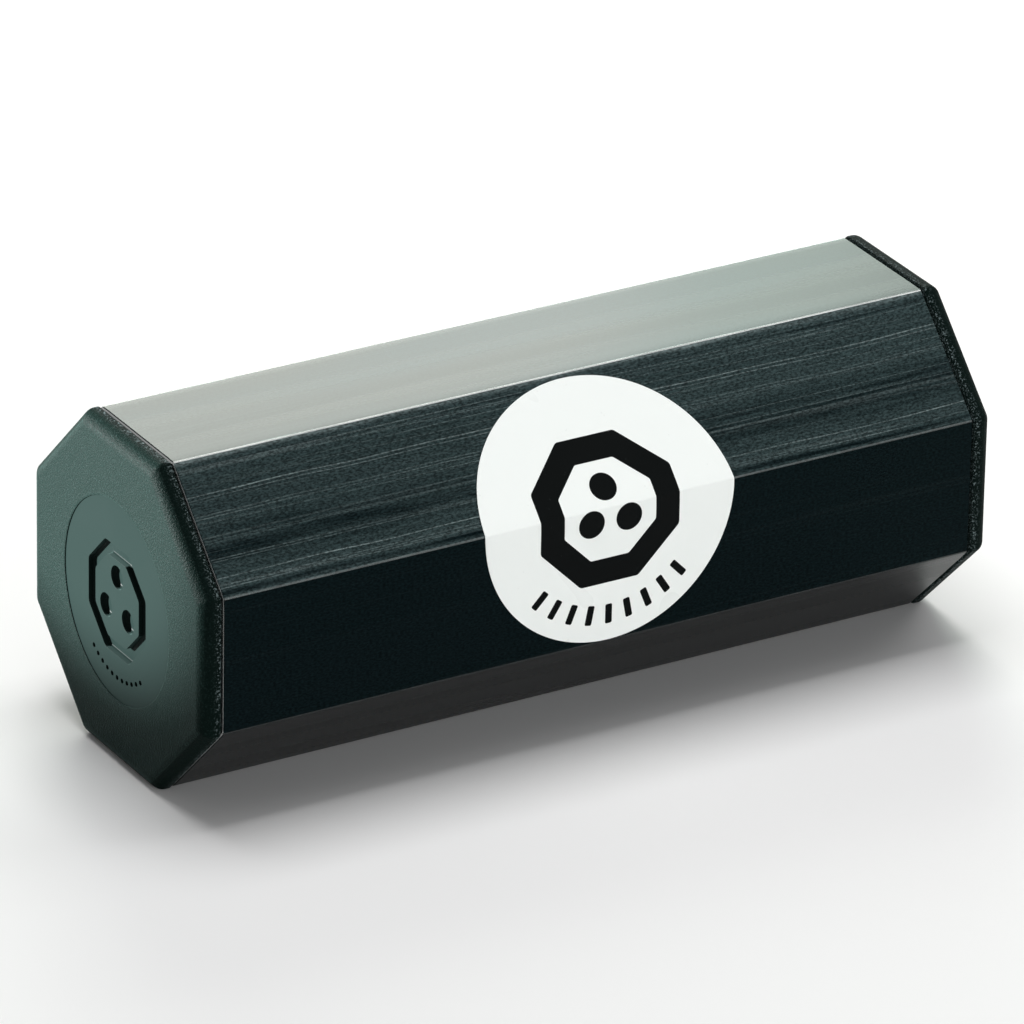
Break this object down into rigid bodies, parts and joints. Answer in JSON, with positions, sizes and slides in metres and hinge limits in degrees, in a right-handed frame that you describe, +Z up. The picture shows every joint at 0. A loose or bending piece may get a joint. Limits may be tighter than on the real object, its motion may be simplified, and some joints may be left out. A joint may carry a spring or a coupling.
{
  "type": "ganza shaker",
  "caption": "Hand shaker: an octagonal black anodised aluminium tube with pressed-in plastic end caps, a round folded label and loose steel shot inside.",
  "frame": {"origin": "middle of the base: on the surface that the shaker lies on, below the middle of the tube", "axes": "+X along the tube, -Y towards the label, +Z up"},
  "size_m": [0.1536, 0.0604, 0.0603],
  "materials": {
    "anodised_tube": "black anodised extrusion, brushed along its length, satin",
    "cap_plastic": "black moulded plastic with a fine spark-eroded texture and a smooth sunk disc",
    "label_vinyl": "white vinyl label with glossy black print",
    "steel_shot": "bright steel balls"
  },
  "bodies": {
    "shaker_body": {"body_tube": "anodised_tube", "left_end_cap": "cap_plastic", "right_end_cap": "cap_plastic", "front_label": "label_vinyl"},
    "floor_shot_row_1": {"floor_shot_row_1": "steel_shot"},
    "floor_shot_row_2": {"floor_shot_row_2": "steel_shot"},
    "floor_shot_row_3": {"floor_shot_row_3": "steel_shot"},
    "floor_shot_row_4": {"floor_shot_row_4": "steel_shot"},
    "floor_shot_row_5": {"floor_shot_row_5": "steel_shot"},
    "floor_shot_row_6": {"floor_shot_row_6": "steel_shot"},
    "wall_shot_row_1": {"wall_shot_row_1": "steel_shot"},
    "wall_shot_row_2": {"wall_shot_row_2": "steel_shot"},
    "second_shot_row_1": {"second_shot_row_1": "steel_shot"},
    "second_shot_row_2": {"second_shot_row_2": "steel_shot"},
    "second_shot_row_3": {"second_shot_row_3": "steel_shot"},
    "second_shot_row_4": {"second_shot_row_4": "steel_shot"},
    "second_shot_row_5": {"second_shot_row_5": "steel_shot"},
    "top_shot_row_1": {"top_shot_row_1": "steel_shot"},
    "top_shot_row_2": {"top_shot_row_2": "steel_shot"},
    "top_shot_row_3": {"top_shot_row_3": "steel_shot"},
    "top_shot_row_4": {"top_shot_row_4": "steel_shot"}
  },
  "joints": [
    {"name": "floor_shot_row_1_slide", "type": "slide", "parent": "shaker_body", "child": "floor_shot_row_1", "axis": [1, 0, 0], "range_m": [-0.03115, 0.03115]},
    {"name": "floor_shot_row_2_slide", "type": "slide", "parent": "shaker_body", "child": "floor_shot_row_2", "axis": [1, 0, 0], "range_m": [-0.03115, 0.03115]},
    {"name": "floor_shot_row_3_slide", "type": "slide", "parent": "shaker_body", "child": "floor_shot_row_3", "axis": [1, 0, 0], "range_m": [-0.03115, 0.03115]},
    {"name": "floor_shot_row_4_slide", "type": "slide", "parent": "shaker_body", "child": "floor_shot_row_4", "axis": [1, 0, 0], "range_m": [-0.03115, 0.03115]},
    {"name": "floor_shot_row_5_slide", "type": "slide", "parent": "shaker_body", "child": "floor_shot_row_5", "axis": [1, 0, 0], "range_m": [-0.03115, 0.03115]},
    {"name": "floor_shot_row_6_slide", "type": "slide", "parent": "shaker_body", "child": "floor_shot_row_6", "axis": [1, 0, 0], "range_m": [-0.03115, 0.03115]},
    {"name": "wall_shot_row_1_slide", "type": "slide", "parent": "shaker_body", "child": "wall_shot_row_1", "axis": [1, 0, 0], "range_m": [-0.03115, 0.03115]},
    {"name": "wall_shot_row_2_slide", "type": "slide", "parent": "shaker_body", "child": "wall_shot_row_2", "axis": [1, 0, 0], "range_m": [-0.03115, 0.03115]},
    {"name": "second_shot_row_1_slide", "type": "slide", "parent": "shaker_body", "child": "second_shot_row_1", "axis": [1, 0, 0], "range_m": [-0.0455, 0.0455]},
    {"name": "second_shot_row_2_slide", "type": "slide", "parent": "shaker_body", "child": "second_shot_row_2", "axis": [1, 0, 0], "range_m": [-0.0455, 0.0455]},
    {"name": "second_shot_row_3_slide", "type": "slide", "parent": "shaker_body", "child": "second_shot_row_3", "axis": [1, 0, 0], "range_m": [-0.0455, 0.0455]},
    {"name": "second_shot_row_4_slide", "type": "slide", "parent": "shaker_body", "child": "second_shot_row_4", "axis": [1, 0, 0], "range_m": [-0.0455, 0.0455]},
    {"name": "second_shot_row_5_slide", "type": "slide", "parent": "shaker_body", "child": "second_shot_row_5", "axis": [1, 0, 0], "range_m": [-0.0455, 0.0455]},
    {"name": "top_shot_row_1_slide", "type": "slide", "parent": "shaker_body", "child": "top_shot_row_1", "axis": [1, 0, 0], "range_m": [-0.0496, 0.0496]},
    {"name": "top_shot_row_2_slide", "type": "slide", "parent": "shaker_body", "child": "top_shot_row_2", "axis": [1, 0, 0], "range_m": [-0.0496, 0.0496]},
    {"name": "top_shot_row_3_slide", "type": "slide", "parent": "shaker_body", "child": "top_shot_row_3", "axis": [1, 0, 0], "range_m": [-0.0496, 0.0496]},
    {"name": "top_shot_row_4_slide", "type": "slide", "parent": "shaker_body", "child": "top_shot_row_4", "axis": [1, 0, 0], "range_m": [-0.0496, 0.0496]}
  ]
}
